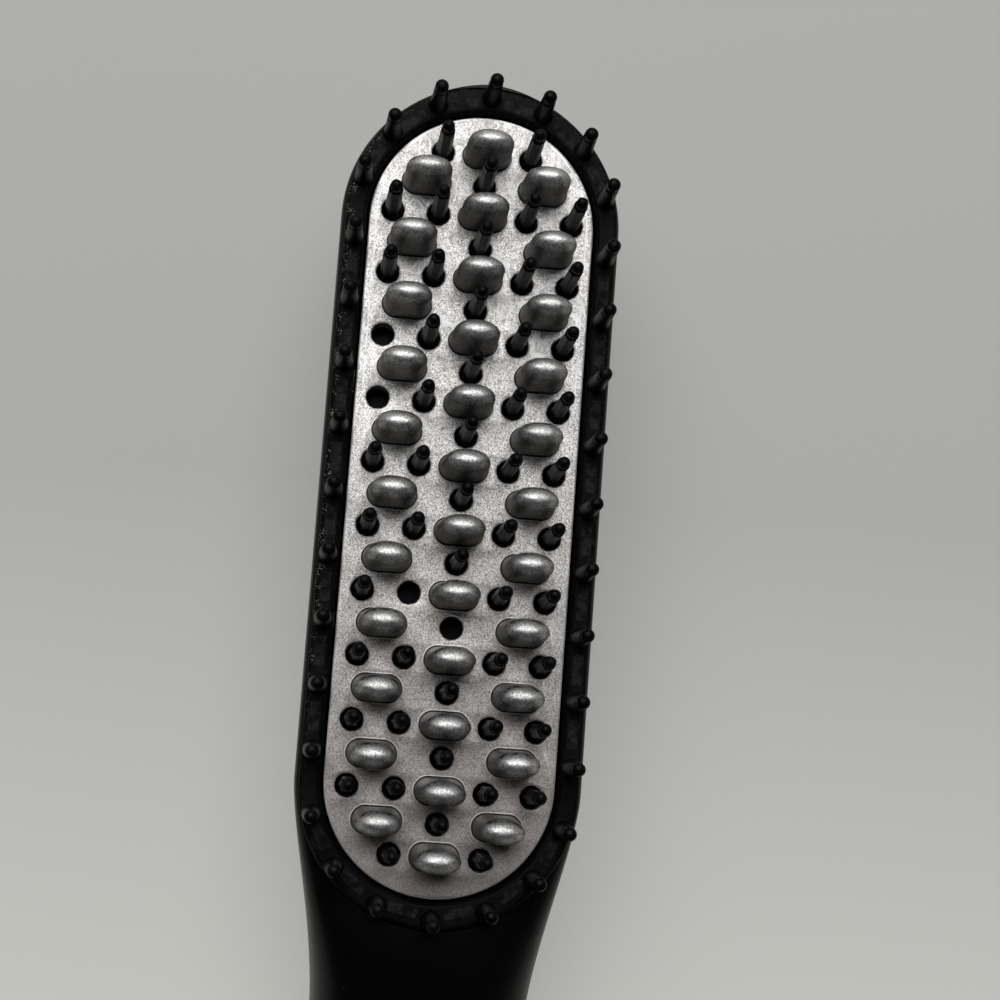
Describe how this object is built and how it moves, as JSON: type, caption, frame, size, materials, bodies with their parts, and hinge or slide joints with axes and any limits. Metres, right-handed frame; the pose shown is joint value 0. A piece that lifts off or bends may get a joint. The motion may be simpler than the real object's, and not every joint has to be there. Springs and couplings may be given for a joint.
{
  "type": "beard straightener",
  "caption": "Heated beard straightening brush with a pill-shaped aluminium face of raised bumps, comb pins, a comb rim, push buttons and a swivel cord gland.",
  "frame": {"origin": "centre of the bounding box's bottom, on the surface that the brush's back lies on", "axes": "+Y from the handle to the head, +Z out of the heated face, +X to the right seen from above"},
  "size_m": [0.04, 0.25, 0.0422],
  "materials": {
    "housing_plastic": "satin black ABS",
    "comb_plastic": "matte black heat-resistant plastic",
    "coated_plate": "grainy silver ceramic coating",
    "cast_aluminium": "polished",
    "polyimide": "amber film",
    "glass_felt": "woven glass felt",
    "screw_steel": "zinc plated",
    "board_laminate": "green solder mask",
    "component_black": "moulded epoxy",
    "button_plastic": "fine texture",
    "plunger_plastic": "plain",
    "panel_gloss": "piano gloss",
    "window_clear": "smoked clear",
    "capacitor_yellow": "plain",
    "capacitor_blue": "printed sleeve without print",
    "ceramic": "glazed ceramic",
    "wire_white": "silicone",
    "wire_red": "silicone",
    "gland_rubber": "matte",
    "collar_plastic": "acetal"
  },
  "bodies": {
    "body": {"back_shell": "housing_plastic", "front_shell": "housing_plastic", "comb_rim": "comb_plastic", "face_plate": "coated_plate", "heat_spreader": "cast_aluminium", "heater_film": "polyimide", "insulation_sheet": "glass_felt", "pin_board": "comb_plastic", "plate_screws": "screw_steel", "rim_screws": "screw_steel", "shell_screws": "screw_steel", "board_screws": "screw_steel", "control_board": "board_laminate", "switch_bodies": "component_black", "control_panel": "panel_gloss", "display_window": "window_clear", "display_module": "component_black", "controller_chip": "component_black", "triac": "component_black", "film_capacitor": "capacitor_yellow", "smoothing_capacitor": "capacitor_blue", "thermistor": "ceramic", "thermal_fuse": "ceramic", "heater_leads": "wire_white", "sensor_leads": "wire_red", "swivel_collar": "collar_plastic"},
    "power_button": {"power_button": "button_plastic", "power_plunger": "plunger_plastic"},
    "plus_button": {"plus_button": "button_plastic", "plus_plunger": "plunger_plastic"},
    "minus_button": {"minus_button": "button_plastic", "minus_plunger": "plunger_plastic"},
    "swivel": {"swivel_gland": "gland_rubber"}
  },
  "joints": [
    {"name": "power_press", "type": "slide", "parent": "body", "child": "power_button", "axis": [0, 0, -1], "range_m": [0, 0.0005], "stiffness_N_per_m": 2000, "springref_m": -0.0005},
    {"name": "plus_press", "type": "slide", "parent": "body", "child": "plus_button", "axis": [0, 0, -1], "range_m": [0, 0.0005], "stiffness_N_per_m": 2000, "springref_m": -0.0005},
    {"name": "minus_press", "type": "slide", "parent": "body", "child": "minus_button", "axis": [0, 0, -1], "range_m": [0, 0.0005], "stiffness_N_per_m": 2000, "springref_m": -0.0005},
    {"name": "swivel_turn", "type": "hinge", "parent": "body", "child": "swivel", "pos_m": [0, -0.115, 0.014], "axis": [0, 1, 0], "continuous": true}
  ]
}
